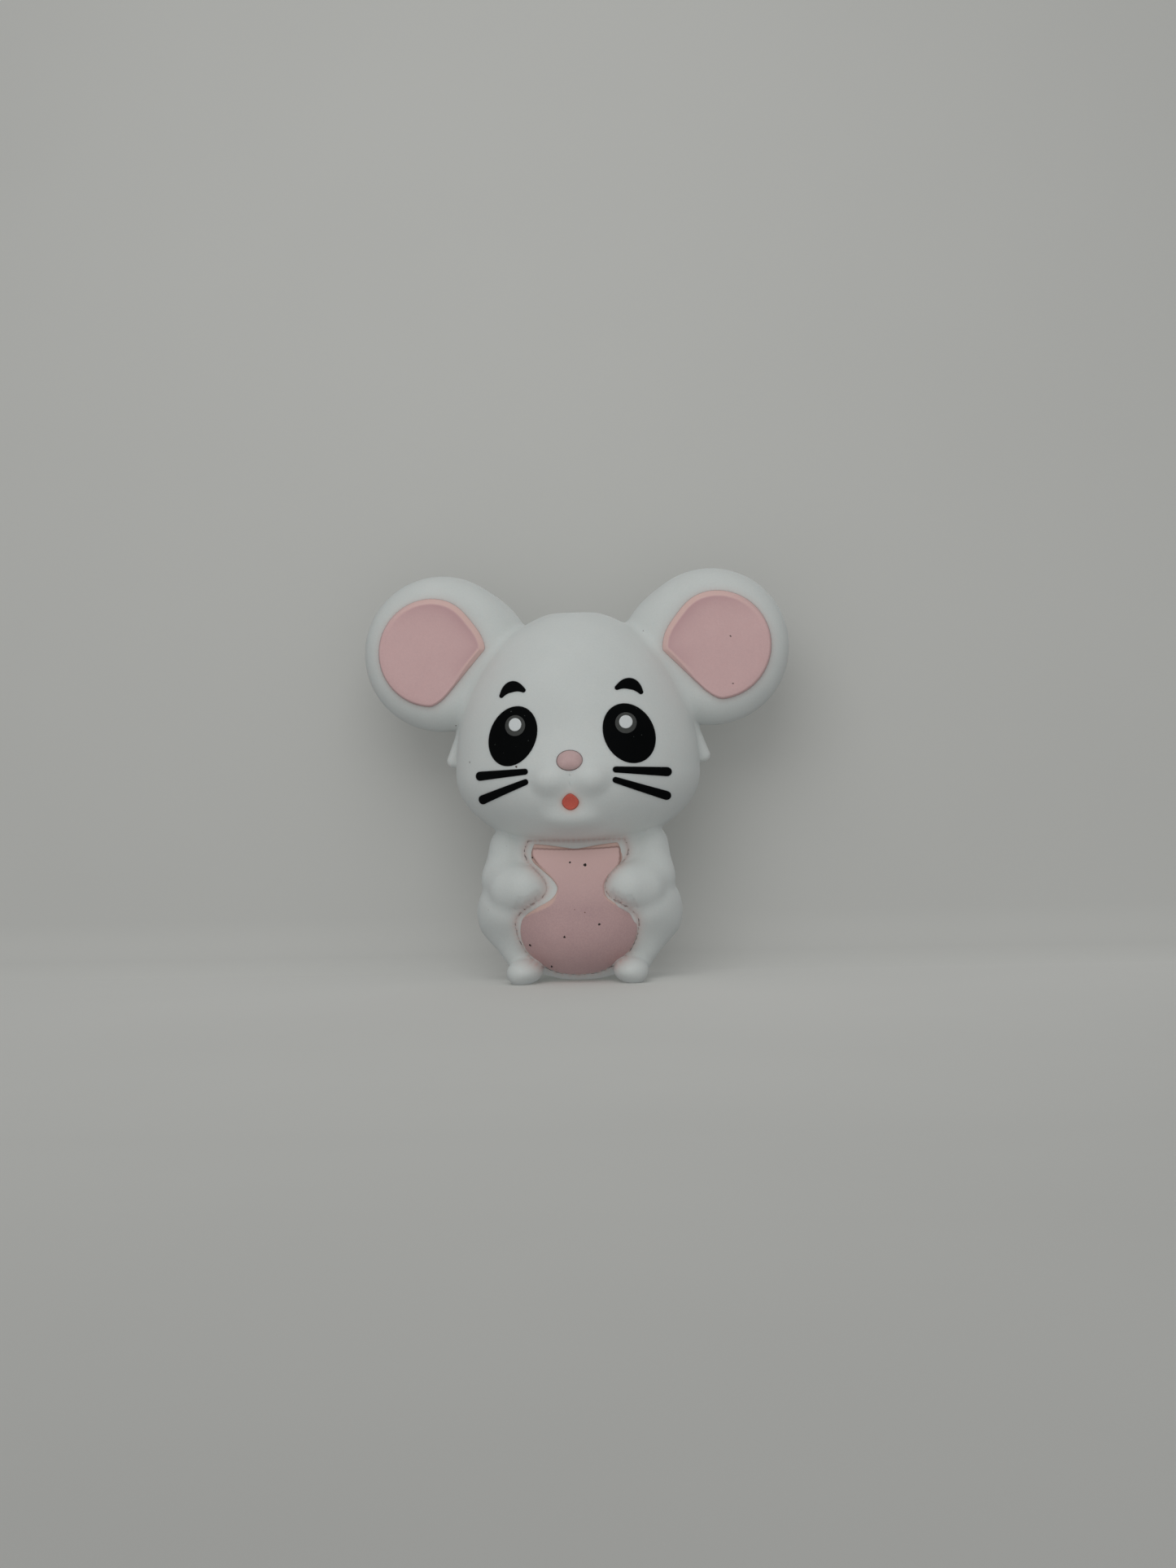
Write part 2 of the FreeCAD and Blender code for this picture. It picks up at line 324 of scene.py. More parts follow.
def silicone(name, light, dark, roughness, scatter, shine, specks, crumb, grain=9000.0):
    """Finish from two close shades; specks is (cells, share, size), crumb the colour of what sticks to it."""
    material = bpy.data.materials.new(name)
    material.use_nodes = True
    tree = material.node_tree
    shader = tree.nodes["Principled BSDF"]
    skin = put(tree, "ShaderNodeGroup", node_tree=grain_group)
    skin.inputs["Grain Size"].default_value = grain
    dust = put(tree, "ShaderNodeGroup", node_tree=speck_group)
    for label, value in zip(("Cells", "Share", "Size"), specks):
        dust.inputs[label].default_value = value
    colour = mixed(tree, skin.outputs["Clouds"], (*light, 1), (*dark, 1))
    colour = mixed(tree, dust.outputs["Mask"], colour, (*crumb, 1))
    tree.links.new(colour, shader.inputs["Base Color"])
    rough = put(tree, "ShaderNodeMapRange",
                {"Value": skin.outputs["Sheen Mask"], "To Min": roughness - 0.08, "To Max": roughness + 0.08})
    tree.links.new(rough.outputs["Result"], shader.inputs["Roughness"])
    bump = put(tree, "ShaderNodeBump",
               {"Strength": 0.35, "Distance": 0.00002, "Height": skin.outputs["Height"]})
    tree.links.new(bump.outputs["Normal"], shader.inputs["Normal"])
    shader.inputs["Specular IOR Level"].default_value = shine
    shader.inputs["Subsurface Weight"].default_value = scatter
    shader.inputs["Subsurface Radius"].default_value = (1.0, 0.85, 0.8)
    shader.inputs["Subsurface Scale"].default_value = 0.0005
    return material


def tint_where(material, attribute, shade, share=1.0):
    """Colours the material towards shade by a value stored on the mesh."""
    tree = material.node_tree
    shader = tree.nodes["Principled BSDF"]
    before = shader.inputs["Base Color"].links[0].from_socket
    stored = put(tree, "ShaderNodeAttribute", attribute_name=attribute)
    amount = put(tree, "ShaderNodeMath", {0: stored.outputs["Fac"], 1: share}, operation="MULTIPLY")
    tree.links.new(mixed(tree, amount.outputs[0], before, (*shade, 1)), shader.inputs["Base Color"])


def nearness(x, z, rim, reach):
    """1 at an outline, falling off over reach, measured in the front view."""
    gap = np.full(len(x), 1e9)
    for rx, rz in rim:
        gap = np.minimum(gap, (x - rx) ** 2 + (z - rz) ** 2)
    return np.exp(-np.sqrt(gap) / reach)


def store(piece, label, values):
    attribute = piece.data.attributes.new(label, "FLOAT", "POINT")
    attribute.data.foreach_set("value", np.clip(values, 0, 1).astype(np.float32))


def finish(piece, material, node):
    """Smooth shading, material, slot and the part node that the piece stands for."""
    smooth(piece)
    piece.data.materials.clear()
    piece.data.materials.append(material)
    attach(piece, "root")
    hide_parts(node)


brown_crumb = (0.10, 0.07, 0.06)
white_silicone = silicone("white_silicone", (0.715, 0.75, 0.73), (0.665, 0.70, 0.682), 0.55, 0.35, 0.35,
                          (830.0, 0.10, 0.11), brown_crumb)

# overlapping lumps near the final shape, fused by the remesh; the pull below gives the exact skin
upper_head = ((0, 0, 17.0), (7.9, 6.4, 8.6))
waist = ((0, 0, 7.5), (5.5, 4.3, 4.0))
deselect()
starts = [ball(head_centre, (head_half[0], head_half[1], head_drop + 0.4)), ball(*upper_head),
          ball(torso_centre, (torso_half[0], torso_half[1], torso_drop)), ball(*waist),
          ball(*muzzle), ball(*lower_lip), ball(*tummy)]
for side in (-1, 1):
    for centre, half in (cheek_lobe, thigh, foot, toe, ear_root):
        starts.append(ball((side * centre[0], centre[1], centre[2]), half))
    for centre, radius in zip(arm_line + shin_line, arm_radii + shin_radii):
        starts.append(ball((side * centre[0], centre[1], centre[2]), (radius,) * 3))
    for share in (0.0, 0.3, 0.55, 0.75, 0.9, 1.0):
        spot = np.array(tuft_line[0]) + share * (np.array(tuft_line[1]) - np.array(tuft_line[0]))
        thick = tuft_radii[0] + share * (tuft_radii[1] - tuft_radii[0])
        starts.append(ball((side * spot[0], spot[1], spot[2]), (thick,) * 3))
    bpy.ops.mesh.primitive_cylinder_add(vertices=96, radius=ear_radius - 0.5, depth=2 * ear_half_depth - 0.4,
                                        location=(side * ear_centre[0], ear_centre[1], ear_centre[2]),
                                        rotation=(math.pi / 2, 0, 0))
    starts.append(bpy.context.object)
body = join(starts, "mouse_body")
voxel = 0.17
apply_modifier(body, "REMESH", mode="VOXEL", voxel_size=voxel)
apply_modifier(body, "SMOOTH", factor=0.5, iterations=4)
longest_pull = 0.35
skin_points = points_of(body)
for _ in range(7):
    pull = np.clip(body_skin(skin_points), -longest_pull, longest_pull)
    push = slope_of(body_skin, skin_points)
    skin_points -= pull[:, None] * push / np.maximum((push**2).sum(axis=1), 0.25)[:, None]
move_points(body, skin_points)

# ------------------------------------------------------------------------------------------
# Eyes: black ovals whose tops lean together, each with a grey disc and a white dot set in it.
# Like every coloured piece they are closed plugs of silicone with a rounded rim, poured into
# pockets of the white moulding that have the same outline, a hair wider.
# ------------------------------------------------------------------------------------------
cutters = []
pocket_gap = 0.008
plug_depth = 0.5
plug_rings = (0, 0.03, 0.07, 0.12, 0.2, 0.3, 0.45, 0.6, 0.8, 1.0)


def plug(name, rim, heart, skin, height, depth=plug_depth, rings=plug_rings):
    """Closed plug: rim and heart are outline points and the middle-line points they shrink to.
    height(x, z, edge) is how far the face stands out of the skin, edge being the way in from the rim."""
    count = len(rim)
    reach = np.linalg.norm(rim - heart, axis=1)
    vertices = []
    for share in rings:
        ring = rim + share * (heart - rim)
        y = front_of(skin, ring[:, 0], ring[:, 1]) - height(ring[:, 0], ring[:, 1], share * reach)
        vertices.append(np.stack([ring[:, 0], y, ring[:, 1]], axis=1))
    for share in reversed(rings):
        ring = rim + share * (heart - rim)
        y = front_of(skin, ring[:, 0], ring[:, 1]) + depth
        vertices.append(np.stack([ring[:, 0], y, ring[:, 1]], axis=1))
    rows = len(vertices)
    mesh = bpy.data.meshes.new(name)
    faces = []
    for row in range(rows - 1):
        # front and back each close at the heart, so no strip runs from one heart to the other
        if row == len(rings) - 1:
            continue
        for i in range(count):
            j = (i + 1) % count
            faces.append((row * count + i, row * count + j, (row + 1) * count + j, (row + 1) * count + i))
    last_row = (rows - 1) * count
    skirt = [(i, last_row + i, last_row + (i + 1) % count, (i + 1) % count) for i in range(count)]
    mesh.from_pydata(np.concatenate(vertices).tolist(), [], faces + skirt)
    piece = bpy.data.objects.new(name, mesh)
    bpy.context.collection.objects.link(piece)
    clean = bmesh.new()
    clean.from_mesh(mesh)
    bmesh.ops.remove_doubles(clean, verts=clean.verts, dist=1e-4)
    bmesh.ops.dissolve_degenerate(clean, edges=clean.edges, dist=1e-5)
    bmesh.ops.recalc_face_normals(clean, faces=clean.faces)
    clean.to_mesh(mesh)
    clean.free()
    return piece


def pocket(rim, heart, skin, depth=plug_depth, lift=1.2):
    """Cutter with the plug's outline, the gap wider, standing out of the skin by lift."""
    way = rim - heart
    wide = rim + pocket_gap * way / np.maximum(np.linalg.norm(way, axis=1), 1e-6)[:, None]
    cutter = plug("cutter", wide, heart, skin, lambda x, z, edge: np.full(len(x), lift), depth,
                  rings=(0, 0.25, 0.5, 0.75, 1.0))
    cutters.append(cutter)


def rounded_rim(stand, roll):
    """Face stands out by stand, its rim rolled over within roll."""
    return lambda x, z, edge: stand - roll * (1 - np.sqrt(1 - (1 - np.clip(edge / roll, 0, 1)) ** 2))


def oval(centre, half_x, half_z, lean=0.0, count=96):
    """Outline of an oval that shrinks to its centre."""
    turn = np.linspace(0, 2 * math.pi, count, endpoint=False)
    x = half_x * np.cos(turn)
    z = half_z * np.sin(turn)
    c, s = math.cos(lean), math.sin(lean)
    rim = np.stack([centre[0] + c * x - s * z, centre[1] + s * x + c * z], axis=1)
    return rim, np.tile(np.array(centre), (count, 1))


def stroke(spine, widths, count=14, cap=9):
    """Outline round a middle line with round ends; every rim point shrinks to its own line point."""
    spine = np.array(spine)
    way = np.gradient(spine, axis=0)
    way /= np.linalg.norm(way, axis=1)[:, None]
    side = np.stack([-way[:, 1], way[:, 0]], axis=1)
    rim = [spine[i] + side[i] * widths[i] for i in range(len(spine))]
    heart = list(spine)
    for k in range(1, cap):
        angle = math.pi * k / cap
        rim.append(spine[-1] + widths[-1] * (side[-1] * math.cos(angle) + way[-1] * math.sin(angle)))
        heart.append(spine[-1])
    for i in range(len(spine) - 1, -1, -1):
        rim.append(spine[i] - side[i] * widths[i])
        heart.append(spine[i])
    for k in range(1, cap):
        angle = math.pi * k / cap
        rim.append(spine[0] - widths[0] * (side[0] * math.cos(angle) + way[0] * math.sin(angle)))
        heart.append(spine[0])
    return np.array(rim), np.array(heart)


def middle_of(node):
    """Middle of a part node in the front view, in mm."""
    low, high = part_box(node)
    middle = (low + high) / 2 / MM
    return middle.x, middle.z


lint = (0.10, 0.11, 0.105)
black_silicone = silicone("black_silicone", (0.0020, 0.0026, 0.0028), (0.0010, 0.0014, 0.0016),
                          0.62, 0.0, 0.04, (3300.0, 0.35, 0.12), lint)
ring_grey = silicone("ring_grey", (0.073, 0.077, 0.073), (0.048, 0.051, 0.048), 0.55, 0.0, 0.2,
                     (2600.0, 0.2, 0.15), (0.01, 0.008, 0.006))
glint_white = silicone("glint_white", (0.76, 0.80, 0.80), (0.70, 0.74, 0.74), 0.5, 0.0, 0.3,
                       (2600.0, 0.05, 0.12), brown_crumb)
eye_half_long, eye_half_short, eye_lean = 2.10, 1.66, math.radians(25)
ring_radius, glint_radius, glint_lift = 0.72, 0.45, 0.07
for name, side in (("left", -1), ("right", 1)):
    centre = middle_of("eye_" + name)
    rim, heart = oval(centre, eye_half_short, eye_half_long, lean=side * eye_lean)
    eye = plug("eye_" + name + "_black", rim, heart, body_skin, rounded_rim(0.10, 0.10))
    pocket(rim, heart, body_skin)
    spot = middle_of("eye_ring_" + name)
    rim, heart = oval(spot, ring_radius, ring_radius, count=64)
    ring = plug("eye_disc_" + name, rim, heart, body_skin, rounded_rim(0.14, 0.05))
    rim, heart = oval((spot[0], spot[1] + glint_lift), glint_radius, glint_radius, count=64)
    glint = plug("eye_dot_" + name, rim, heart, body_skin, rounded_rim(0.19, 0.06))
    for piece in (eye, ring, glint):
        to_metres(piece)
    finish(eye, black_silicone, "eye_" + name)
    finish(ring, ring_grey, "eye_ring_" + name)
    finish(glint, glint_white, "eye_glint_" + name)

# ------------------------------------------------------------------------------------------
# Brows: short black arches, thick in the middle and almost straight underneath, the outer
# end lower. Poured flush like the eyes and of the same black silicone.
# ------------------------------------------------------------------------------------------
brow_half_span, brow_arch, brow_sink, brow_lean = 0.80, 0.43, 0.27, 11
brow_end_half, brow_middle_extra = 0.16, 0.23
for name, side in (("left", -1), ("right", 1)):
    centre = middle_of("brow_" + name)
    share = np.linspace(-1, 1, 25)
    lean = math.radians(-brow_lean * side)
    arch_x = brow_half_span * share
    arch_z = brow_arch * (1 - share**2) - brow_sink
    c, s = math.cos(lean), math.sin(lean)
    spine = np.stack([centre[0] + c * arch_x - s * arch_z, centre[1] + s * arch_x + c * arch_z], axis=1)
    widths = brow_end_half + brow_middle_extra * np.cos(share * math.pi / 2)
    rim, heart = stroke(spine, widths)
    brow = plug("brow_" + name + "_black", rim, heart, body_skin, rounded_rim(0.10, 0.10))
    pocket(rim, heart, body_skin)
    to_metres(brow)
    finish(brow, black_silicone, "brow_" + name)

# ------------------------------------------------------------------------------------------
# Whiskers: two straight black strokes on each cheek, round at both ends and thicker outside.
# The same black silicone as the eyes, flush with the skin, its edge slightly rolled.
# ------------------------------------------------------------------------------------------
whisker_lines = {"upper": ((3.05, 14.42), (6.4, 14.2)), "lower": ((3.03, 13.72), (6.3, 12.58))}
inner_half_width, outer_half_width = 0.20, 0.31
for name, side in (("left", -1), ("right", 1)):
    for level, (inner, outer) in whisker_lines.items():
        share = np.linspace(0, 1, 22)[:, None]
        spine = np.array(inner) + share * (np.array(outer) - np.array(inner))
        spine[:, 0] *= side
        widths = inner_half_width + (outer_half_width - inner_half_width) * share[:, 0]
        rim, heart = stroke(spine, widths)
        node = "whisker_" + level + "_" + name
        whisker = plug(node + "_black", rim, heart, body_skin, rounded_rim(0.12, 0.12))
        pocket(rim, heart, body_skin)
        to_metres(whisker)
        finish(whisker, black_silicone, node)

# ------------------------------------------------------------------------------------------
# Nose: an oval pink button between the two cheek lobes. It stands out of the muzzle like a
# shallow dome and carries the mould's matt skin.
# ------------------------------------------------------------------------------------------
nose_half_wide, nose_half_high = 0.88, 0.69
rim, heart = oval(middle_of("nose"), nose_half_wide, nose_half_high)
nose = plug("nose_pink", rim, heart, body_skin, rounded_rim(0.5, 0.72))
pocket(rim, heart, body_skin)
to_metres(nose)
nose_pink = silicone("nose_pink", (0.64, 0.46, 0.45), (0.56, 0.39, 0.38), 0.55, 0.2, 0.35,
                     (1500.0, 0.2, 0.12), brown_crumb)
finish(nose, nose_pink, "nose")

# ------------------------------------------------------------------------------------------
# Mouth: a small coral drop under the nose, its top drawn up to a blunt point. Poured nearly
# flush; the coral pigment has bled a little into the white round it.
# ------------------------------------------------------------------------------------------
centre = middle_of("mouth")
mouth_half_wide, mouth_half_high = 0.55, 0.51
turn = np.linspace(0, 2 * math.pi, 72, endpoint=False)
peak = 1 + 0.12 * np.clip(np.sin(turn), 0, 1) ** 8 + 0.02 * np.cos(4 * turn)
mouth_rim = np.stack([centre[0] + mouth_half_wide * peak * np.cos(turn),
                      centre[1] + mouth_half_high * peak * np.sin(turn)], axis=1)
mouth_heart = np.tile(np.array(centre), (len(mouth_rim), 1))
mouth = plug("mouth_coral", mouth_rim, mouth_heart, body_skin, rounded_rim(0.05, 0.08))
pocket(mouth_rim, mouth_heart, body_skin)
to_metres(mouth)
mouth_coral = silicone("mouth_coral", (0.70, 0.145, 0.10), (0.57, 0.10, 0.07), 0.5, 0.1, 0.35,
                       (2600.0, 0.2, 0.15), brown_crumb)
finish(mouth, mouth_coral, "mouth")

# ------------------------------------------------------------------------------------------
# Ear pads: pink discs in the ears, cut straight on the side of the head so that a corner
# points at it. The face stands proud; its edge slopes gently above and is steep below. The gentle
# upper slope is painted paler as a painted highlight, with a painted mauve shade just inside it.
# ------------------------------------------------------------------------------------------
pad_radius, pad_depth, pad_proud = 3.78, 0.7, 0.30
pad_centre_x, pad_centre_z = 9.95, 22.93
steep_slope, gentle_slope = 0.10, 0.44
pad_rings = (0, 0.006, 0.014, 0.024, 0.036, 0.05, 0.065, 0.08, 0.095, 0.11, 0.13, 0.16, 0.2, 0.26, 0.34, 0.44,
             0.6, 0.8, 1.0)
ear_rims = []


def upper_inner(centre, side, x, z):
    """1 on the side of the pad that looks up and to the head, 0 on the other."""
    way = np.stack([x - centre[0], z - centre[1]], axis=1)
    way /= np.maximum(np.linalg.norm(way, axis=1), 1e-6)[:, None]
    return np.clip(0.2 + 0.8 * (-side * 0.64 * way[:, 0] + 0.77 * way[:, 1]), 0, 1)


def pad_height(centre, side):
    """Rises from the rim to the proud face, gently on the upper inner side and steeply elsewhere."""
    def height(x, z, edge):
        slope_width = steep_slope + (gentle_slope - steep_slope) * upper_inner(centre, side, x, z)
        return pad_proud * np.clip(edge / slope_width, 0, 1) ** 0.85
    return height


# which way each pad's straight cut faces, how far it is from the centre, and where its round is flattened
for name, side, toward, chord, flattened in (("left", -1, -41, 2.72, 38), ("right", 1, 225, 2.84, 142)):
    centre = np.array([side * pad_centre_x, pad_centre_z])
    turn = np.linspace(0, 2 * math.pi, 160, endpoint=False)
    away = np.arccos(np.cos(turn - math.radians(flattened)))
    radius = pad_radius - 0.26 * np.exp(-(away / 0.42) ** 2)
    cut = chord / np.maximum(np.cos(turn - math.radians(toward)), 0.05)
    soft = 0.08 + 0.7 * np.clip(-np.sin(turn), 0, 1) ** 2
    close = np.clip(1 - np.abs(cut - radius) / soft, 0, 1)
    reach = np.minimum(radius, cut) - close * close * soft / 4
    rim = np.stack([centre[0] + reach * np.cos(turn), centre[1] + reach * np.sin(turn)], axis=1)
    ear_rims.append(rim)
    heart = np.tile(centre, (len(rim), 1))
    inlay = plug("ear_pad_" + name, rim, heart, body_skin, pad_height(centre, side),
                 depth=pad_depth, rings=pad_rings)
    pocket(rim, heart, body_skin, depth=pad_depth)
    x, z = points_of(inlay)[:, 0], points_of(inlay)[:, 2]
    edge = -np.log(nearness(x, z, rim, 1.0))
    lit = upper_inner(centre, side, x, z)
    # painted highlight: the gentle upper inner slope is coloured paler and more orange, as where light falls
    # on it
    store(inlay, "painted_lit_band", 0.9 * lit * np.clip((gentle_slope - edge) / 0.1, 0, 1))
    fading = np.exp(-np.maximum(edge - gentle_slope, 0) / 0.6)
    # painted shade: a mauve band just inside the lit slope, fading in towards the middle
    store(inlay, "inner_shade", lit * np.clip((edge - 0.36) / 0.08, 0, 1) * fading)
    to_metres(inlay)
    ear_pink = silicone("ear_pink_" + name, (0.77, 0.53, 0.52), (0.70, 0.475, 0.47), 0.6, 0.2, 0.3,
                        (1000.0, 0.16, 0.10), brown_crumb)
    # painted highlight on the lit slope, then painted shade inside it
    tint_where(ear_pink, "painted_lit_band", (0.78, 0.55, 0.50))
    tint_where(ear_pink, "inner_shade", (0.60, 0.38, 0.39))
    finish(inlay, ear_pink, "ear_inlay_" + name)

# ------------------------------------------------------------------------------------------
# Belly panel: a pink bottle shape between the hands and legs. A narrow border is sunk, broad at
# the top and by the left hand; the face stands proud of it. The face is painted paler above as
# painted light and left mauve below; the border is coloured darker, partly as painted shade and
# partly as the white skin over the pink; a painted shade line runs along the top step.
# ------------------------------------------------------------------------------------------
belly_depth = 0.8
belly_side = [(0.0, 0.42), (1.4, 0.6), (2.6, 1.2), (3.5, 2.0), (4.0, 2.9), (4.2, 3.8), (4.08, 4.5),
              (3.4, 5.15), (2.4, 5.75), (1.98, 6.4), (2.2, 7.1), (2.8, 7.75), (3.38, 8.35), (3.56, 8.9),
              (3.45, 9.4), (3.3, 9.68)]


def smooth_line(knots, steps=6):
    """Even curve through the given points."""
    p = np.array([knots[0]] + list(knots) + [knots[-1]], float)
    line = []
    for i in range(1, len(p) - 2):
        for k in range(steps):
            t = k / steps
            line.append(0.5 * (2 * p[i] + (p[i + 1] - p[i - 1]) * t
                               + (2 * p[i - 1] - 5 * p[i] + 4 * p[i + 1] - p[i + 2]) * t**2
                               + (3 * p[i] - p[i - 1] - 3 * p[i + 1] + p[i + 2]) * t**3))
    line.append(p[-2])
    return np.array(line)


right_side = smooth_line(belly_side)
corner_x, corner_z = right_side[-1]
top_x = np.linspace(corner_x, -corner_x, 40)[1:-1]
top = np.stack([top_x, np.full(len(top_x), corner_z)], axis=1)
left_side = right_side[::-1] * np.array([-1, 1])
belly_rim = np.concatenate([right_side, top, left_side[:-1]])
belly_heart = np.stack([np.zeros(len(belly_rim)), np.clip(belly_rim[:, 1], 3.4, 8.0)], axis=1)


def border_width(x, z):
    """Width of the sunk border: broad along the top and beside the left hand, narrow elsewhere."""
    top_share = np.clip((z - 8.0) / 0.8, 0, 1)
    left_share = np.clip(0.5 - x, 0, 1)
    left_border = np.interp(z, [1.2, 2.8, 4.4, 5.4, 6.5, 7.4, 8.2], [0.0, 0.12, 0.3, 0.75, 0.68, 0.45, 0.3])
    right_border = np.interp(z, [4.2, 5.0, 5.7, 6.3], [0.0, 0.22, 0.22, 0.0])
    sag = 0.08 * np.clip(1 - (x / 2.6) ** 2, 0, 1)
    side_border = left_share * left_border + (1 - left_share) * right_border
    return 0.1 + (0.46 + sag) * top_share + (1 - top_share) * side_border


def belly_height(x, z, edge):
    """Sunk border, a crisp step, then the raised face; at its edge the border climbs the hands and legs."""
    rise = np.clip((edge - border_width(x, z) + 0.1) / 0.16, 0, 1)
    rise = rise * rise * (3 - 2 * rise)
    lip = np.clip(front_of(torso_skin, x, z) - front_of(body_skin, x, z), 0, 0.4)
    return -0.03 + 0.2 * rise + 0.8 * lip * np.exp(-edge / 0.16)


belly = plug("belly_pad", belly_rim, belly_heart, torso_skin, belly_height, depth=belly_depth,
             rings=tuple(np.concatenate([np.linspace(0, 0.5, 31), np.linspace(0.55, 1.0, 8)])))
pocket(belly_rim, belly_heart, torso_skin, depth=belly_depth, lift=0.5)
belly_points = points_of(belly)
x, z = belly_points[:, 0], belly_points[:, 2]
edge = -np.log(nearness(x, z, belly_rim[::2], 1.0))
# the sunk border is coloured darker salmon: partly painted shade of the recess, partly the white skin showing
# over the pink
store(belly, "border_shade_and_skin_tint", np.clip((border_width(x, z) + 0.02 - edge) / 0.08, 0, 1))
# painted light: the face is coloured paler towards the top, where light falls, and stays darker mauve lower
# down
store(belly, "painted_light_above", np.clip((z - 5.0) / 3.5, 0, 1))
# painted shade: a dark line along the top step, where the crevice between border and face lies in shade
step = np.exp(-((edge - border_width(x, z) + 0.02) / 0.05) ** 2)
store(belly, "step_shade_line", 0.8 * step * np.clip((z - 7.5) / 0.8, 0, 1))
to_metres(belly)
belly_pink = silicone("belly_pink", (0.60, 0.41, 0.40), (0.49, 0.33, 0.33), 0.6, 0.2, 0.3,
                      (1500.0, 0.12, 0.10), (0.20, 0.10, 0.09))
tint_where(belly_pink, "painted_light_above", (0.80, 0.56, 0.53), 0.85)
# painted shade of the sunk border, together with the salmon tint of the white skin over the pink
tint_where(belly_pink, "border_shade_and_skin_tint", (0.68, 0.475, 0.42))
# painted shade along the top step
tint_where(belly_pink, "step_shade_line", (0.25, 0.13, 0.11))

# dark crumbs that stick to the face: x, z and radius
crumbs = ((-0.36, 8.2, 0.07), (0.66, 8.0, 0.11), (-3.0, 8.55, 0.06), (1.6, 4.0, 0.07), (-0.75, 3.2, 0.07),
          (-3.2, 2.6, 0.08), (-1.8, 1.1, 0.07))
crumb_ripple = 0.16 * MM
tree = belly_pink.node_tree
here = put(tree, "ShaderNodeTexCoord").outputs["Object"]
ripple = put(tree, "ShaderNodeTexNoise", {"Vector": here, "Scale": 7000.0})
shifted = put(tree, "ShaderNodeVectorMath",
              {0: ripple.outputs["Color"], 1: (crumb_ripple, 0.0, crumb_ripple), 2: here},
              operation="MULTIPLY_ADD")
flat = put(tree, "ShaderNodeVectorMath", {0: shifted.outputs[0], 1: (1, 0, 1)}, operation="MULTIPLY")
colour = tree.nodes["Principled BSDF"].inputs["Base Color"].links[0].from_socket
for crumb_x, crumb_z, crumb_radius in crumbs:
    # the ripple moves a point by half its width on average, so the crumb's middle is moved as far
    middle = (crumb_x * MM + crumb_ripple / 2, 0, crumb_z * MM + crumb_ripple / 2)
    away = put(tree, "ShaderNodeVectorMath", {0: flat.outputs[0], 1: middle}, operation="DISTANCE")
    inside = put(tree, "ShaderNodeMath", {0: away.outputs["Value"], 1: crumb_radius * MM},
                 operation="LESS_THAN")
    colour = mixed(tree, inside.outputs[0], colour, (0.02, 0.012, 0.01, 1))
tree.links.new(colour, tree.nodes["Principled BSDF"].inputs["Base Color"])
finish(belly, belly_pink, "belly_panel")

# ------------------------------------------------------------------------------------------
# Pockets and threading hole are cut into the white moulding in one go. Next to the coloured
# pieces some of their pigment has crept into the white, most of all round belly and mouth.
# ------------------------------------------------------------------------------------------
bore_radius = 1.25
bpy.ops.mesh.primitive_cylinder_add(vertices=64, radius=bore_radius, depth=40, location=(0, 0, 13))
cutters.append(bpy.context.object)
tool = join(cutters, "cutters")
apply_modifier(body, "BOOLEAN", operation="DIFFERENCE", object=tool, solver="FAST")
bpy.data.objects.remove(tool)
to_metres(body)
skin_points = points_of(body) / MM
x, z = skin_points[:, 0], skin_points[:, 2]
in_front = skin_points[:, 1] < 1.0
creep = 0.6 * nearness(x, z, belly_rim[::2], 0.2)
for rim in ear_rims:
    creep = np.maximum(creep, 0.35 * nearness(x, z, rim[::2], 0.16))
store(body, "pink_creep", creep * in_front)
store(body, "coral_creep", 0.5 * nearness(x, z, mouth_rim, 0.14) * in_front)
tint_where(white_silicone, "pink_creep", (0.62, 0.36, 0.31))
tint_where(white_silicone, "coral_creep", (0.70, 0.30, 0.20))
finish(body, white_silicone, "body")

# ------------------------------------------------------------------------------------------
# Table and backdrop: one pale sheet of matt paper that lies flat under the mouse and turns up
# behind it in a tight curve. It is only seen from its front, and it neither blocks the light
# nor reflects any onto the mouse.
# ------------------------------------------------------------------------------------------
sheet_half_width = 0.4
curve_start, curve_radius = 0.0032, 0.004
wall_y = curve_start + curve_radius
# each profile point: y, z and how pale the sheet is there, so that it looks even under the lamps
profile = [(-0.6, 0.0, 0.67), (-0.113, 0.0, 0.66), (-0.102, 0.0, 0.64), (-0.084, 0.0, 0.60),
           (-0.067, 0.0, 0.59), (-0.038, 0.0, 0.64), (-0.0135, 0.0, 0.705), (curve_start, 0.0, 0.735)]
for degrees in np.linspace(7.5, 90, 12):
    angle = math.radians(degrees)
    pale = float(np.interp(degrees, [0, 45, 90], [0.735, 0.62, 0.65]))
    profile.append((curve_start + curve_radius * math.sin(angle), curve_radius * (1 - math.cos(angle)), pale))
profile += [(wall_y, 0.02, 0.65), (wall_y, 0.07, 0.616), (wall_y, 0.4, 0.60)]
sheet_mesh = bpy.data.meshes.new("sweep")
sheet_vertices = [(x, y, z) for y, z, pale in profile for x in (-sheet_half_width, sheet_half_width)]
sheet_faces = [(2 * i, 2 * i + 1, 2 * i + 3, 2 * i + 2) for i in range(len(profile) - 1)]
sheet_mesh.from_pydata(sheet_vertices, [], sheet_faces)
sheet_mesh.polygons.foreach_set("use_smooth", [True] * len(sheet_faces))
sheet = bpy.data.objects.new("sweep", sheet_mesh)
bpy.context.collection.objects.link(sheet)
store(sheet, "paleness", np.repeat([pale for y, z, pale in profile], 2))

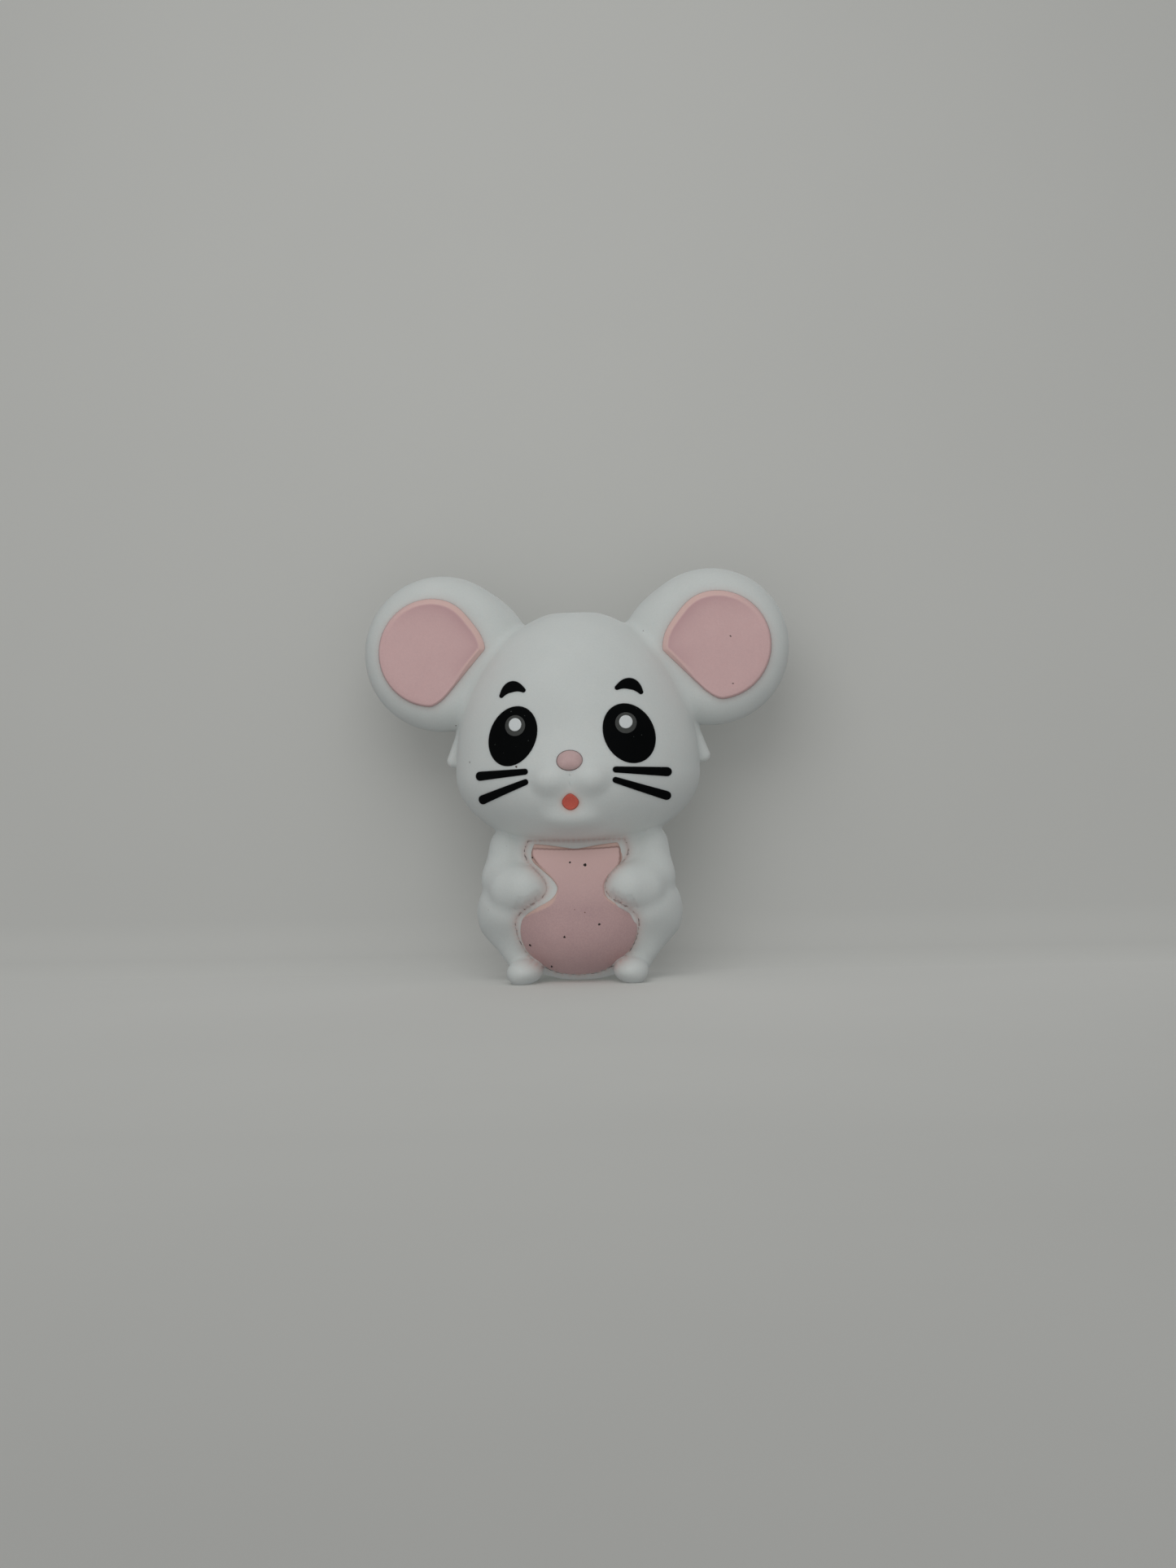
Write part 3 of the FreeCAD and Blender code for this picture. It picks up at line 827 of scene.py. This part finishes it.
paper = bpy.data.materials.new("pale_sheet")
paper.use_nodes = True
tree = paper.node_tree
shader = tree.nodes["Principled BSDF"]
shader.inputs["Roughness"].default_value = 0.9
pale_here = put(tree, "ShaderNodeAttribute", attribute_name="paleness").outputs["Fac"]
here = put(tree, "ShaderNodeTexCoord").outputs["Object"]
clouds = put(tree, "ShaderNodeTexNoise", {"Vector": here, "Scale": 60.0, "Detail": 4.0})
white_paper = mixed(tree, clouds.outputs["Fac"], (1.02, 1.03, 0.985, 1), (0.98, 0.99, 0.947, 1))
tree.links.new(mixed(tree, pale_here, (0, 0, 0, 1), white_paper), shader.inputs["Base Color"])
seen = put(tree, "ShaderNodeLightPath").outputs["Is Camera Ray"]
behind = put(tree, "ShaderNodeNewGeometry").outputs["Backfacing"]
seen_in_front = put(tree, "ShaderNodeMath", {0: seen, 1: behind}, operation="SUBTRACT", use_clamp=True)
clear = put(tree, "ShaderNodeBsdfTransparent")
one_sided = put(tree, "ShaderNodeMixShader",
                {0: seen_in_front.outputs[0], 1: clear.outputs[0], 2: shader.outputs[0]})
tree.links.new(one_sided.outputs[0], tree.nodes["Material Output"].inputs["Surface"])
sheet_mesh.materials.append(paper)

# ------------------------------------------------------------------------------------------
# Room light: an even white surround, a little stronger from above and from the front.
# ------------------------------------------------------------------------------------------
even_light, more_from_above, more_from_front = 0.325, 0.10, 0.17
world = bpy.data.worlds.new("studio")
bpy.context.scene.world = world
world.use_nodes = True
tree = world.node_tree
place = put(tree, "ShaderNodeTexCoord")
split = put(tree, "ShaderNodeSeparateXYZ", {0: place.outputs["Generated"]})
lift = put(tree, "ShaderNodeMath", {0: split.outputs["Z"], 1: more_from_above, 2: even_light},
           operation="MULTIPLY_ADD")
strength = put(tree, "ShaderNodeMath", {0: split.outputs["Y"], 1: -more_from_front, 2: lift.outputs[0]},
               operation="MULTIPLY_ADD")
background = tree.nodes["Background"]
tree.links.new(strength.outputs[0], background.inputs["Strength"])
background.inputs["Color"].default_value = (1.0, 1.0, 1.0, 1)

# ------------------------------------------------------------------------------------------
# Lamps: a soft one overhead on the face side, and a larger, fainter one behind the mouse that
# keeps its back readable.
# ------------------------------------------------------------------------------------------
mouse_middle = Vector((0, 0, 0.014))


def soft_lamp(name, place, power, wide, deep):
    """Rectangular lamp that faces the middle of the mouse."""
    data = bpy.data.lights.new(name, "AREA")
    data.shape = "RECTANGLE"
    data.size = wide
    data.size_y = deep
    data.energy = power
    lamp = bpy.data.objects.new(name, data)
    bpy.context.collection.objects.link(lamp)
    lamp.location = place
    lamp.rotation_euler = (mouse_middle - lamp.location).to_track_quat("-Z", "Y").to_euler()


soft_lamp("overhead", (-0.008, -0.075, 0.08), 0.0195, 0.08, 0.06)
soft_lamp("back_fill", (0.03, 0.15, 0.07), 0.025, 0.12, 0.12)

# ------------------------------------------------------------------------------------------
# Camera: level with the middle of the mouse, a few degrees to the right of straight in front,
# and turned a little about its own line of sight.
# ------------------------------------------------------------------------------------------
yaw, roll = math.radians(3.9), math.radians(1.4)
camera_distance, frame_width = 0.150, 0.08257
ahead = Vector((-math.sin(yaw), math.cos(yaw), 0))
level_right, level_up = Vector((math.cos(yaw), math.sin(yaw), 0)), Vector((0, 0, 1))
right = level_right * math.cos(roll) - level_up * math.sin(roll)
up_way = level_up * math.cos(roll) + level_right * math.sin(roll)
aim_height, aim_aside = 0.01351, 0.000686
target = Vector((0, 0, aim_height)) + right * aim_aside
camera_data = bpy.data.cameras.new("camera")
camera_data.sensor_fit = "HORIZONTAL"
camera_data.sensor_width = 36.0
camera_data.lens = 36.0 * camera_distance / frame_width
camera_data.clip_start = 0.005
camera = bpy.data.objects.new("camera", camera_data)
bpy.context.collection.objects.link(camera)
turn_matrix = Matrix((right, up_way, -ahead)).transposed()
camera.matrix_world = Matrix.Translation(target - ahead * camera_distance) @ turn_matrix.to_4x4()
bpy.context.scene.camera = camera
bpy.context.scene.view_settings.view_transform = "Standard"
